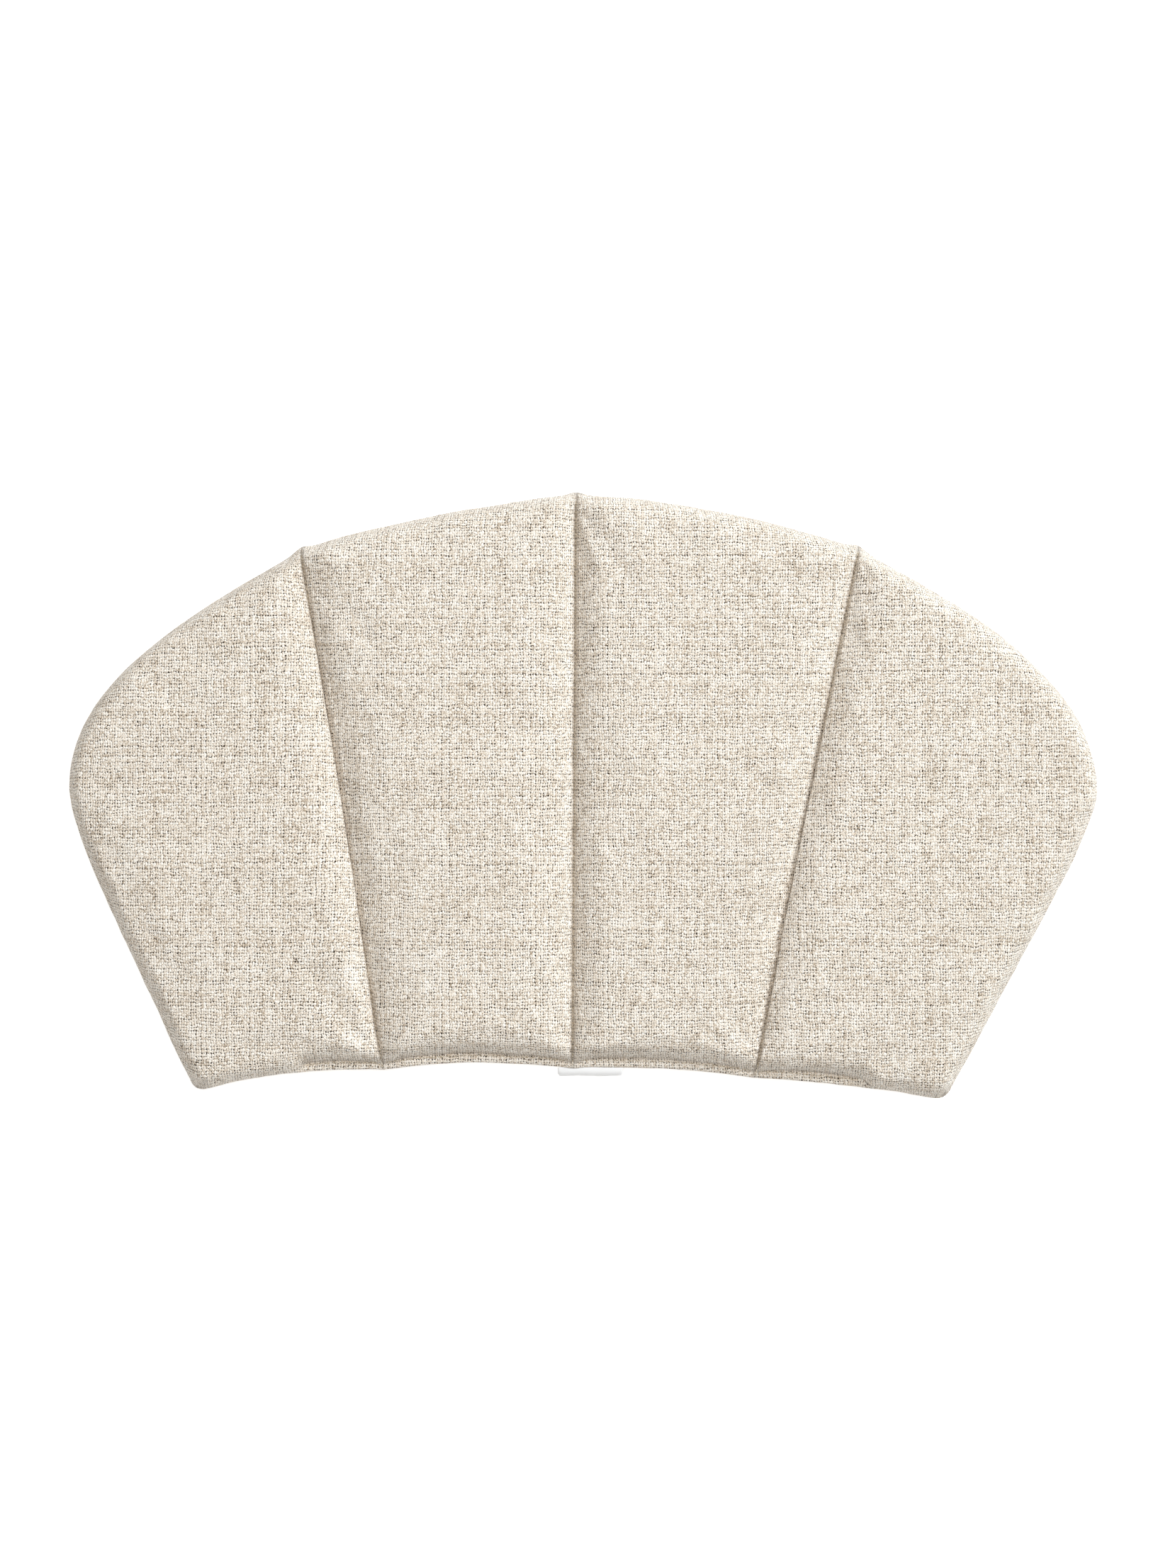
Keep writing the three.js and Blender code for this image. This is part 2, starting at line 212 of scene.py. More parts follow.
# Four sides of each channel: bottom and top run left to right, left and right run upwards.
channels = {
    "outer_left": {
        "bottom": leftBottom, "right": foldLine("left"), "left": leftSide, "top": leftUpper,
        "folds": ["left"], "rim": np.vstack([leftSide, leftUpper[1:]]),
    },
    "inner_left": {
        "bottom": bottomLine(folds["left"]["bottom"], folds["centre"]["bottom"], hemBow["innerLeft"], 73),
        "right": foldLine("centre"), "left": foldLine("left"), "top": archLine("left"),
        "folds": ["left", "centre"], "rim": archLine("left"),
    },
    "inner_right": {
        "bottom": bottomLine(folds["centre"]["bottom"], folds["right"]["bottom"], hemBow["innerRight"], 74),
        "right": foldLine("right"), "left": foldLine("centre"), "top": archLine("right")[::-1],
        "folds": ["centre", "right"], "rim": archLine("right"),
    },
    "outer_right": {
        "bottom": rightBottom[::-1], "right": rightSide, "left": foldLine("right"), "top": rightUpper[::-1],
        "folds": ["right"], "rim": np.vstack([rightSide, rightUpper[1:]]),
    },
}
hemEnds = {"left": -156, "right": 156, "runout": 9}  # where the open hem meets the turned edge
print("pattern drawn")


gridCrowding = {"across": 0.82, "upwards": 0.35}  # how much the grid of each cover is packed towards its edges


def spread(count, crowding):
    # Shares from 0 to 1, packed closer towards both ends. The first and last steps are next to nothing,
    # so that folded layers keep their thickness right up to a fold line.
    t = np.linspace(0, 1, count)
    shares = t - crowding * np.sin(2 * np.pi * t) / (2 * np.pi)
    shares[[1, -2]] = 0.15 * shares[1], 1 - 0.15 * shares[1]
    return shares


def patch(channel, columns, rows):
    # Fills the four sides of a channel with a grid of points.
    s, t = spread(columns, gridCrowding["across"]), spread(rows, gridCrowding["upwards"])
    bottom, top = alongLine(channel["bottom"], s), alongLine(channel["top"], s)
    left, right = alongLine(channel["left"], t), alongLine(channel["right"], t)
    u, v = (share[..., None] for share in np.meshgrid(s, t))
    grid = (1 - v) * bottom[None] + v * top[None] + (1 - u) * left[:, None] + u * right[:, None]
    grid -= (1 - u) * (1 - v) * bottom[0] + u * (1 - v) * bottom[-1] + (1 - u) * v * top[0] + u * v * top[-1]
    return grid


def profile(distance, width, power):
    return 1 - (1 - np.clip(distance / width, 0, 1)) ** power


def foldProfile(distance, sheet, width, slit):
    # At a fold line the two channels press together up to the pinch. Above it the cloth stands up out of a
    # narrow slit, then eases over to the flat.
    rise = (sheet["wall"] * profile(distance, slit, sheet["slitPower"])
            + (1 - sheet["wall"]) * profile(distance, width, sheet["foldPower"]))
    return sheet["pinch"] + (1 - sheet["pinch"]) * rise


def edgeProfile(distance, sheet):
    return profile(distance, sheet["edge"], sheet["edgePower"])


def excessTable(rise, width, shape):
    # How much longer the cloth is than its plan, from each distance out to the end of the shoulder.
    d = np.linspace(0, width, 400)
    lengths = lengthsAlong(np.stack([d, rise * shape(d)], 1))
    return d, (lengths[-1] - lengths) - (width - d)


def foldExcess(sheet):
    return excessTable(sheet["rise"], sheet["fold"], lambda d: foldProfile(d, sheet, sheet["fold"], sheet["slit"]))


# wall is the share of the height taken by the walls of the slit, and pinch the share pressed together below it
sheets = {
    "face": {"side": 1, "rise": pad["faceRise"], "fold": pad["faceFoldWidth"], "edge": pad["faceEdgeWidth"],
             "foldPower": 2.0, "edgePower": 2.6, "pinch": 0.34, "wall": 0.36, "slit": 1.45,
             "slitPower": 1.7},
    "back": {"side": -1, "rise": pad["backDrop"], "fold": pad["backFoldWidth"], "edge": pad["backEdgeWidth"],
             "foldPower": 2.1, "edgePower": 2.3, "pinch": 0.0, "wall": 0.0, "slit": 2.5,
             "slitPower": 1.7},
}


def hemShare(x):
    runout = hemEnds["runout"]
    return (smoothStep(hemEnds["left"] - runout, hemEnds["left"], x)
            * smoothStep(-hemEnds["right"] - runout, -hemEnds["right"], -x))


stitching = {
    "pitch": 4.3,            # stitch length
    "threadRadius": 0.28,
    "gap": 0.9,              # between one stitch and the next, at the needle hole
    "pucker": 0.8,           # how far the cloth puffs up between two needle holes
    "scallop": 0.28,         # how much the slit narrows between two needle holes
}


def edgeDistances(channel, points):
    return nearLine(points, channel["rim"]), nearLine(points, channel["bottom"])


def clothSurface(channel, points, sheet, edges):
    # Height of one sheet of cloth over each point of the plan, and where that point was on the flat cloth.
    x, y = points.T
    side = sheet["side"]
    fabric = points.copy()
    lift, dome, detail = np.ones(len(points)), np.ones(len(points)), np.zeros(len(points))
    middle = np.mean(channel["bottom"], 0)
    foldNearness = np.zeros(len(points))
    for name in channel["folds"]:
        low, high = foldLine(name)
        along = (high - low) / np.hypot(*(high - low))
        normal = np.array([along[1], -along[0]])
        if (middle - low) @ normal < 0:
            normal = -normal
        away, run = (points - low) @ normal, (points - low) @ along
        foldNearness += np.exp(-(away / 11) ** 2)
        shoulder = np.clip(away - pad["creaseHalf"], 0, None)
        seed = {"left": 3, "centre": 5, "right": 7}[name] + (1 if normal[0] > 0 else 0) + (20 if side < 0 else 0)
        # The cloth is drawn down at each stitch and puffs between, and it draws unevenly along the line.
        puff = np.cos(2 * np.pi * run / stitching["pitch"]) * np.exp(-shoulder / 2.2) * stitching["pucker"]
        pull = softNoise(run, 0 * run, 10, seed) * 0.7 + softNoise(run, 0 * run, 24, seed + 9) * 0.9
        detail += (puff + pull * np.exp(-shoulder / 8) * 0.6) * (1 - np.exp(-shoulder / 0.9))
        width = sheet["fold"] * (1 + 0.1 * softNoise(run, 0 * run, 60, seed + 30))
        scallop = stitching["scallop"] * np.cos(2 * np.pi * run / stitching["pitch"])
        scallop += 0.3 * softNoise(run, 0 * run, 6, seed + 50)
        lift *= foldProfile(shoulder, sheet, width, sheet["slit"] * (1 - scallop))
        dome *= 1 - np.exp(-away / 38)
        d, excess = foldExcess(sheet)
        fabric -= normal * np.interp(shoulder, d, excess)[:, None]
    (rimAway, rimRun, rimIn), (hemAway, hemRun, hemIn) = edges
    hem = hemShare(x)
    hemStart = hem * (pad["hemWidth"] + 0.6 * softNoise(hemRun, 0 * hemRun, 14, 15)) * (1 - 0.42 * foldNearness)
    for away, run, inwards, start, seed in ((rimAway, rimRun, rimIn, 0, 11), (hemAway, hemRun, hemIn, hemStart, 13)):
        shoulder = np.clip(away - start, 0, None)
        pull = softNoise(run, 0 * run, 13, seed) * 0.5 + softNoise(run, 0 * run, 30, seed + 2) * 0.7
        detail += pull * np.exp(-shoulder / 7) * (1 - np.exp(-shoulder / 1.6)) * 0.6
        lift *= edgeProfile(shoulder, sheet)
        dome *= 1 - np.exp(-shoulder / 38)
        d, excess = excessTable(sheet["rise"], sheet["edge"], lambda value: edgeProfile(value, sheet))
        fabric -= inwards * np.interp(shoulder, d, excess)[:, None]
    # The hem is a flat band of folded layers: a rounded outer edge, a sewn crease at its root, a little wavy.
    beyond = hemAway - hemStart
    flap = pad["hemThickness"] / 2 * np.sqrt(1 - (1 - np.clip(hemAway / 1.2, 0, 1)) ** 2) * hem
    flap *= 1 + 0.3 * softNoise(hemRun, 0 * hemRun, 7, 17)
    flap *= np.where(beyond < 0, 1 - 0.9 * np.exp(-(beyond / 0.8) ** 2), 0.1 * np.exp(-beyond / 1.5))
    ripple = hem * 0.45 * softNoise(hemRun, 0 * hemRun, 16, 19)
    ripple = ripple * smoothStep(0, 1.5, hemAway) * smoothStep(7, 4, hemAway)
    uneven = softNoise(x, y, 46, 80 + side) * 0.5 + softNoise(x, y, 19, 90 + side) * 0.18
    swell = (pad["crown"] * dome + uneven * smoothStep(0.5, 1, lift)) * (side > 0)
    height = side * (sheet["rise"] * lift + swell + flap)
    height += side * detail * (1 - 0.75 * smoothStep(0.9, 1, lift)) * (1 if side > 0 else 0.4)
    height += pad["seamHeight"] + ripple
    return (height if side > 0 else np.maximum(height, pad["floorClearance"])), fabric


def toRow(points):
    # Pattern millimetres to the frame's metres.
    moved = np.array(points, float)
    moved[:, 0] -= pad["patternMiddle"][0]
    moved[:, 1] -= pad["patternMiddle"][1]
    return moved / 1000


def makeObject(name, vertices, faces):
    mesh = bpy.data.meshes.new(name)
    mesh.from_pydata(np.asarray(vertices).tolist(), [], faces.tolist() if isinstance(faces, np.ndarray) else faces)
    mesh.polygons.foreach_set("use_smooth", [True] * len(mesh.polygons))
    made = bpy.data.objects.new(name, mesh)
    bpy.context.scene.collection.objects.link(made)
    return made


def gridFaces(index, flip=False):
    # Quads over a grid of vertex numbers.
    corners = [index[:-1, :-1], index[:-1, 1:], index[1:, 1:], index[1:, :-1]]
    return np.stack(corners[::-1] if flip else corners, -1).reshape(-1, 4)


backPanelShift = (900, 0)  # the back is cut from another part of the same cloth
clothShift = {"inner_left": np.zeros(2)}
faceFoldExcess = foldExcess(sheets["face"])[1][0]


def foldNormal(name):
    low, high = foldLine(name)
    along = (high - low) / np.hypot(*(high - low))
    return np.array([along[1], -along[0]])


# One panel of cloth runs across all the channels, so each channel's weave carries on from the last.
clothShift["outer_left"] = -2 * faceFoldExcess * foldNormal("left")
clothShift["inner_right"] = 2 * faceFoldExcess * foldNormal("centre")
clothShift["outer_right"] = clothShift["inner_right"] + 2 * faceFoldExcess * foldNormal("right")


def leaning(channel, flat):
    # How far each point of the face cloth is carried sideways by the lean of the grooves beside it.
    move = np.zeros_like(flat)
    for name in channel["folds"]:
        low, high = foldLine(name)
        along = (high - low) / np.hypot(*(high - low))
        normal = np.array([along[1], -along[0]])
        away = np.abs((flat - low) @ normal)
        share = ((flat - low) @ along) / np.hypot(*(high - low))
        first, second = folds[name]["lean"]
        amount = first * np.sin(np.pi * share) + second * np.sin(2 * np.pi * share)
        amount *= (1 - np.exp(-np.clip(away - pad["creaseHalf"], 0, None) / 0.7)) * np.exp(-(away / 30) ** 2)
        move += normal * np.where((share > 0) & (share < 1), amount, 0)[:, None]
    return move


def besideFolds(channel, points):
    # For each fold line of a channel: how far in from it each point is, and the direction inwards.
    for fold in channel["folds"]:
        low, normal = foldLine(fold)[0], foldNormal(fold)
        normal = normal * np.sign((np.mean(channel["bottom"], 0) - low) @ normal)
        yield (points - low) @ normal, normal


def coverShape(name, columns, rows):
    # The face sheet and the back sheet share their border, so the cover is one closed skin.
    channel = channels[name]
    flat = patch(channel, columns, rows).reshape(-1, 2)
    for away, normal in besideFolds(channel, flat):
        flat = flat + normal * np.clip(pad["foldGap"] - away, 0, None)[:, None]
    edges = edgeDistances(channel, flat)
    (faceHeight, faceFabric), (backHeight, backFabric) = (
        clothSurface(channel, flat, sheets[side], edges) for side in ("face", "back"))
    index = np.arange(len(flat)).reshape(rows, columns)
    inner = np.zeros_like(index, bool)
    inner[1:-1, 1:-1] = True
    keep = inner.reshape(-1)
    faceHeight[~keep] = pad["seamHeight"]
    backIndex = index.copy()
    backIndex[inner] = len(flat) + np.arange(keep.sum())
    face = np.column_stack([flat + leaning(channel, flat) * keep[:, None], faceHeight])
    vertices = np.vstack([face, np.column_stack([flat, backHeight])[keep]])
    faces = np.vstack([gridFaces(index), gridFaces(backIndex, True)])
    return {"vertices": vertices, "faces": faces, "inner": keep,
            "faceFabric": faceFabric + clothShift[name], "backFabric": backFabric + backPanelShift}


simulation = {
    "columns": 40, "rows": 84, "frames": 20, "pressure": 4.0, "stiffness": 60, "bending": 0.25,
    "slack": -0.006,         # the cloth is cut this much larger than the foam
    "smoothing": 30,         # rounds of evening that leave only the broad movement
    "limit": 0.9,            # the deepest pucker kept
}


def evened(move, rounds):
    # Each point takes the average of its neighbours, again and again.
    for _ in range(rounds):
        padded = np.pad(move, ((1, 1), (1, 1), (0, 0)), "edge")
        move = (padded[2:, 1:-1] + padded[:-2, 1:-1] + padded[1:-1, 2:] + padded[1:-1, :-2] + 2 * move) / 6
    return move


def simulatedMove(name):
    # A coarse copy of the cover is blown up as cloth with its seams held. The foam keeps the cover's broad
    # shape, so only the puckers are kept: what is left of the movement once its broad part is taken away.
    columns, rows = simulation["columns"], simulation["rows"]
    shape = coverShape(name, columns, rows)
    form = makeObject("form_" + name, toRow(shape["vertices"]), shape["faces"])
    pins = form.vertex_groups.new(name="seams")
    pins.add([int(i) for i in np.flatnonzero(~shape["inner"])], 1.0, "REPLACE")
    cloth = form.modifiers.new("Cloth", "CLOTH")
    settings = cloth.settings
    settings.quality = 6
    settings.mass = 0.3
    settings.tension_stiffness = settings.compression_stiffness = simulation["stiffness"]
    settings.shear_stiffness = simulation["stiffness"] / 3
    settings.bending_stiffness = simulation["bending"]
    settings.use_pressure = True
    settings.uniform_pressure_force = simulation["pressure"]
    settings.vertex_group_mass = "seams"
    settings.shrink_min = simulation["slack"]
    settings.effector_weights.gravity = 0
    cloth.point_cache.frame_start, cloth.point_cache.frame_end = 1, simulation["frames"]
    for frameNumber in range(1, simulation["frames"] + 1):
        bpy.context.scene.frame_set(frameNumber)
    settled = form.evaluated_get(bpy.context.evaluated_depsgraph_get()).to_mesh()
    places = np.empty(len(settled.vertices) * 3, np.float32)
    settled.vertices.foreach_get("co", places)
    move = places.reshape(-1, 3).astype(float) * 1000 - toRow(shape["vertices"]) * 1000
    bpy.data.objects.remove(form)
    bpy.context.scene.frame_set(1)
    face = move[:rows * columns].reshape(rows, columns, 3)
    back = np.zeros((rows * columns, 3))
    back[shape["inner"]] = move[rows * columns:]
    kept = []
    for part in (face, back.reshape(rows, columns, 3)):
        pucker = part - evened(part, simulation["smoothing"])
        size = np.linalg.norm(pucker, axis=2)[..., None]
        pucker *= simulation["limit"] * np.tanh(size / simulation["limit"]) / np.maximum(size, 1e-6)
        border = np.minimum.reduce(np.meshgrid(np.minimum(np.arange(columns), np.arange(columns)[::-1]),
                                               np.minimum(np.arange(rows), np.arange(rows)[::-1])))
        kept.append(pucker * np.clip(border / 3, 0, 1)[..., None])
        print("cloth settled", name, "mean pucker", round(float(size.mean()), 2), "mm, most",
              round(float(size.max()), 2))
    return kept


def blended(coarse, columns, rows):
    # The coarse grid read off at the places of the fine one.
    s, coarseS = (spread(count, gridCrowding["across"]) for count in (columns, coarse.shape[1]))
    t, coarseT = (spread(count, gridCrowding["upwards"]) for count in (rows, coarse.shape[0]))
    across = np.stack([[np.interp(s, coarseS, row[:, k]) for k in range(3)] for row in coarse])
    fine = [[np.interp(t, coarseT, across[:, k, c]) for c in range(columns)] for k in range(3)]
    return np.stack(fine, -1).transpose(1, 0, 2)


def coverOf(name, columns=96, rows=300):
    shape = coverShape(name, columns, rows)
    vertices, inner, count = shape["vertices"], shape["inner"], columns * rows
    face, back = (blended(part, columns, rows).reshape(-1, 3) for part in simulatedMove(name))
    vertices[:count][inner] += face[inner]
    vertices[count:, 2] += back[inner][:, 2]
    vertices[:, 2] = np.maximum(vertices[:, 2], pad["floorClearance"])
    for away, _ in besideFolds(channels[name], vertices[:, :2]):
        vertices[:, 2] = np.maximum(vertices[:, 2], pad["seamHeight"] - np.clip(away, 0, None) / pad["backRoom"])
    cover = makeObject("cover_" + name, toRow(vertices), shape["faces"])
    corners = shape["faces"].reshape(-1)
    onBack = np.arange(len(corners)) >= len(corners) // 2
    faceFabric = np.vstack([shape["faceFabric"], shape["faceFabric"][inner]])
    backFabric = np.vstack([shape["backFabric"], shape["backFabric"][inner]])
    coordinates = np.where(onBack[:, None], backFabric[corners], faceFabric[corners])
    layer = cover.data.uv_layers.new(name="cloth")
    layer.data.foreach_set("uv", (coordinates / 1000).astype(np.float32).ravel())
    return cover


def linear(hexColour):
    # An sRGB hex colour as linear red, green, blue and alpha.
    channelsOf = [int(hexColour[i:i + 2], 16) / 255 for i in (1, 3, 5)]
    return [c / 12.92 if c <= 0.04045 else ((c + 0.055) / 1.055) ** 2.4 for c in channelsOf] + [1.0]


def newMaterial(name):
    material = bpy.data.materials.new(name)
    material.use_nodes = True
    return material, material.node_tree, material.node_tree.nodes["Principled BSDF"]


def addNode(tree, kind, settings=None, inputs=None):
    node = tree.nodes.new(kind)
    for key, value in (settings or {}).items():
        setattr(node, key, value)
    for key, value in (inputs or {}).items():
        if isinstance(value, bpy.types.NodeSocket):
            tree.links.new(value, node.inputs[key])
        else:
            node.inputs[key].default_value = value
    return node


wovenCloth = {
    "warpPitch": 1.41,       # millimetres between upright threads
    "weftPitch": 1.74,
    "wander": 0.42,          # how far threads stray from straight, in thread widths
    "jitter": 0.26,          # uneven spacing of whole threads
    "slub": 0.95,            # thick and thin along a thread
    "light": "#fff9f0",
    "middle": "#eedfcc",
    "dark": "#ac9a85",
    # painted shade laid into the gaps between threads
    "gap": "#33271a",
    "longTone": 0.52,        # a thread grows lighter and darker over centimetres
    "shortTone": 0.66,       # and over millimetres
    "ownTone": -0.13,        # whole threads differ
    "fibreTone": 1.5,
    "patchTone": 0.12,
    "threadRelief": 0.42,    # millimetres
    "roughness": 0.92,
    "ior": 1.45,
    "specular": 0.3,
    "sheen": 0.12,
    "sheenRoughness": 0.5,
}


def makeWovenCloth():
    # Polyester woven to look like slubbed linen: thick and thin heathered threads, matt, with painted shade in the
    # small gaps between them.
    material, tree, shader = newMaterial("wovenLinenLookPolyester")
    values = wovenCloth

    def compute(operation, first, second=0.0, third=0.0):
        return addNode(tree, "ShaderNodeMath", {"operation": operation}, {0: first, 1: second, 2: third}).outputs[0]

    def noiseAt(x, y, seed, detail=0.0):
        at = addNode(tree, "ShaderNodeCombineXYZ", {}, {0: x, 1: y, 2: seed})
        noise = addNode(tree, "ShaderNodeTexNoise", {}, {"Vector": at.outputs[0], "Scale": 1.0, "Detail": detail})
        return noise.outputs["Fac"]

    coordinates = addNode(tree, "ShaderNodeUVMap", {"uv_map": "cloth"})
    flat = addNode(tree, "ShaderNodeSeparateXYZ", {}, {0: coordinates.outputs[0]})
    x, y = compute("MULTIPLY", flat.outputs[0], 1000.0), compute("MULTIPLY", flat.outputs[1], 1000.0)

    def strayed(position, pitch, stretchX, stretchY, seed):
        # counts threads, with a slow wander added
        slow = noiseAt(compute("DIVIDE", x, stretchX), compute("DIVIDE", y, stretchY), seed, 3.0)
        counted = compute("DIVIDE", position, pitch)
        return compute("MULTIPLY_ADD", compute("SUBTRACT", slow, 0.5), values["wander"] * 4, counted)

    across = strayed(x, values["warpPitch"], 9.0, 5.0, 11.5)
    upwards = strayed(y, values["weftPitch"], 5.0, 9.0, 27.5)

    def threads(count, along, seed):
        # the roundness of each thread (below zero in the gaps) and its own tone
        index = compute("FLOOR", count)
        lane = compute("MULTIPLY", index, 7.31)
        own = addNode(tree, "ShaderNodeTexWhiteNoise", {"noise_dimensions": "1D"},
                      {"W": compute("ADD", index, seed)}).outputs["Value"]
        centre = compute("MULTIPLY_ADD", compute("SUBTRACT", own, 0.5), values["jitter"], 0.5)
        offset = compute("SUBTRACT", compute("FRACT", count), centre)
        thick = noiseAt(lane, compute("MULTIPLY", along, 0.42), seed, 1.0)
        half = compute("MULTIPLY_ADD", compute("SUBTRACT", thick, 0.5), values["slub"], 0.5)
        share = compute("DIVIDE", offset, half)
        roundness = compute("SUBTRACT", 1.0, compute("MULTIPLY", share, share))
        longTone = noiseAt(lane, compute("MULTIPLY", along, 0.11), seed + 30, 1.0)
        shortTone = noiseAt(lane, compute("MULTIPLY", along, 0.55), seed + 60, 1.0)
        tone = compute("MULTIPLY", compute("SUBTRACT", shortTone, 0.5), values["shortTone"])
        tone = compute("MULTIPLY_ADD", compute("SUBTRACT", longTone, 0.5), values["longTone"], tone)
        tone = compute("MULTIPLY_ADD", compute("SUBTRACT", own, 0.5), values["ownTone"], tone)
        return roundness, tone

    warpRound, warpTone = threads(across, upwards, 3.0)
    weftRound, weftTone = threads(upwards, across, 141.0)

    # over and under, like a chequer
    wave = compute("MULTIPLY", compute("COSINE", compute("MULTIPLY", compute("SUBTRACT", across, 0.5), math.pi)),
                   compute("COSINE", compute("MULTIPLY", compute("SUBTRACT", upwards, 0.5), math.pi)))
    warpHeight = compute("MULTIPLY_ADD", wave, 0.42, compute("MULTIPLY", warpRound, 0.5))
    weftHeight = compute("MULTIPLY_ADD", wave, -0.42, compute("MULTIPLY", weftRound, 0.5))
    ragged = noiseAt(compute("MULTIPLY", x, 0.8), compute("MULTIPLY", y, 0.8), 71.0, 1.0)
    height = compute("MAXIMUM", warpHeight, weftHeight)
    height = compute("MULTIPLY_ADD", compute("SUBTRACT", ragged, 0.5), 0.75, height)
    warpOnTop = compute("GREATER_THAN", warpHeight, weftHeight)
    tone = addNode(tree, "ShaderNodeMix", {}, {0: warpOnTop, 2: weftTone, 3: warpTone}).outputs[0]
    warpFibres = noiseAt(compute("MULTIPLY", x, 3.2), compute("MULTIPLY", y, 0.9), 5.0, 1.0)
    weftFibres = noiseAt(compute("MULTIPLY", x, 0.9), compute("MULTIPLY", y, 3.2), 6.0, 1.0)
    fibres = addNode(tree, "ShaderNodeMix", {}, {0: warpOnTop, 2: weftFibres, 3: warpFibres}).outputs[0]
    patches = noiseAt(compute("MULTIPLY", x, 0.05), compute("MULTIPLY", y, 0.05), 9.0, 2.0)
    fibreTone = compute("MULTIPLY_ADD", compute("SUBTRACT", fibres, 0.5), values["fibreTone"], 0.52)
    tone = compute("ADD", compute("MULTIPLY", tone, 0.95), fibreTone)
    tone = compute("MULTIPLY_ADD", compute("SUBTRACT", patches, 0.5), values["patchTone"], tone)
    ramp = addNode(tree, "ShaderNodeValToRGB", {}, {0: tone})
    ramp.color_ramp.elements[0].position = 0.22
    ramp.color_ramp.elements[0].color = linear(values["dark"])
    ramp.color_ramp.elements[1].position = 0.62
    ramp.color_ramp.elements[1].color = linear(values["light"])
    ramp.color_ramp.elements.new(0.45).color = linear(values["middle"])
    # painted shade: where the threads lie low, in the gaps between them, the colour is darkened towards the gap
    # colour
    paintedGapShade = addNode(tree, "ShaderNodeMapRange", {"interpolation_type": "SMOOTHSTEP"},
                    {"Value": height, "From Min": 0.05, "From Max": 0.5})
    colour = addNode(tree, "ShaderNodeMix", {"data_type": "RGBA"},
                     {0: paintedGapShade.outputs[0], 6: linear(values["gap"]), 7: ramp.outputs[0]})
    bump = addNode(tree, "ShaderNodeBump", {}, {"Height": height, "Distance": values["threadRelief"] / 1000,
                                                "Strength": 0.9})
    tree.links.new(colour.outputs[2], shader.inputs["Base Color"])
    tree.links.new(bump.outputs[0], shader.inputs["Normal"])
    shader.inputs["Roughness"].default_value = values["roughness"]
    shader.inputs["IOR"].default_value = values["ior"]
    shader.inputs["Specular IOR Level"].default_value = values["specular"]
    shader.inputs["Sheen Weight"].default_value = values["sheen"]
    shader.inputs["Sheen Roughness"].default_value = values["sheenRoughness"]
    return material


# dark is painted shade for the grooves between the twisted plies
spunThread = {"light": "#efe6d6", "dark": "#a89678", "plyTwist": 0.9, "roughness": 0.7}


def makeSpunThread():
    # Spun polyester sewing thread: two plies twisted together, slightly hairy, semi-matt, with painted shade in the
    # grooves between the plies.
    material, tree, shader = newMaterial("spunPolyesterThread")
    coordinates = addNode(tree, "ShaderNodeTexCoord")
    wave = addNode(tree, "ShaderNodeTexWave", {"wave_type": "BANDS", "bands_direction": "DIAGONAL"},
                   {"Vector": coordinates.outputs["Object"], "Scale": 320 / spunThread["plyTwist"],
                    "Distortion": 2.0})
    # painted shade: the darker bands of the twist lie where the grooves between the plies fall
    mix = addNode(tree, "ShaderNodeMix", {"data_type": "RGBA"},
                  {0: wave.outputs["Fac"], 6: linear(spunThread["dark"]), 7: linear(spunThread["light"])})
    bump = addNode(tree, "ShaderNodeBump", {}, {"Height": wave.outputs["Fac"], "Distance": 0.0001, "Strength": 0.8})
    tree.links.new(mix.outputs[2], shader.inputs["Base Color"])
    tree.links.new(bump.outputs[0], shader.inputs["Normal"])
    shader.inputs["Roughness"].default_value = spunThread["roughness"]
    return material


satinTape = {"colour": "#ffffff", "shade": "#fbfbfc", "ribPitch": 0.35, "roughness": 0.45}


def makeSatinTape():
    # Woven polyester satin tape: smooth and white, with fine ribs across and a soft shine.
    material, tree, shader = newMaterial("wovenSatinTape")
    coordinates = addNode(tree, "ShaderNodeTexCoord")
    ribs = addNode(tree, "ShaderNodeTexWave", {"wave_type": "BANDS", "bands_direction": "X"},
                   {"Vector": coordinates.outputs["Object"], "Scale": 314 / satinTape["ribPitch"]})
    mix = addNode(tree, "ShaderNodeMix", {"data_type": "RGBA"},
                  {0: ribs.outputs["Fac"], 6: linear(satinTape["shade"]), 7: linear(satinTape["colour"])})
    bump = addNode(tree, "ShaderNodeBump", {}, {"Height": ribs.outputs["Fac"], "Distance": 0.00003})
    tree.links.new(mix.outputs[2], shader.inputs["Base Color"])
    tree.links.new(bump.outputs[0], shader.inputs["Normal"])
    shader.inputs["Roughness"].default_value = satinTape["roughness"]
    return material


cloth = makeWovenCloth()
thread = makeSpunThread()
tape = makeSatinTape()
print("materials made")


coveredParts = ("face_cloth_", "back_cloth_", "wadding_", "foam_core_", "edge_seam_")
for name in channels:
    cover = coverOf(name)
    cover.data.materials.append(cloth)
    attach(cover, name)
    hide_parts(*(part + name for part in coveredParts))
    print("cover", name, len(cover.data.polygons), "faces")


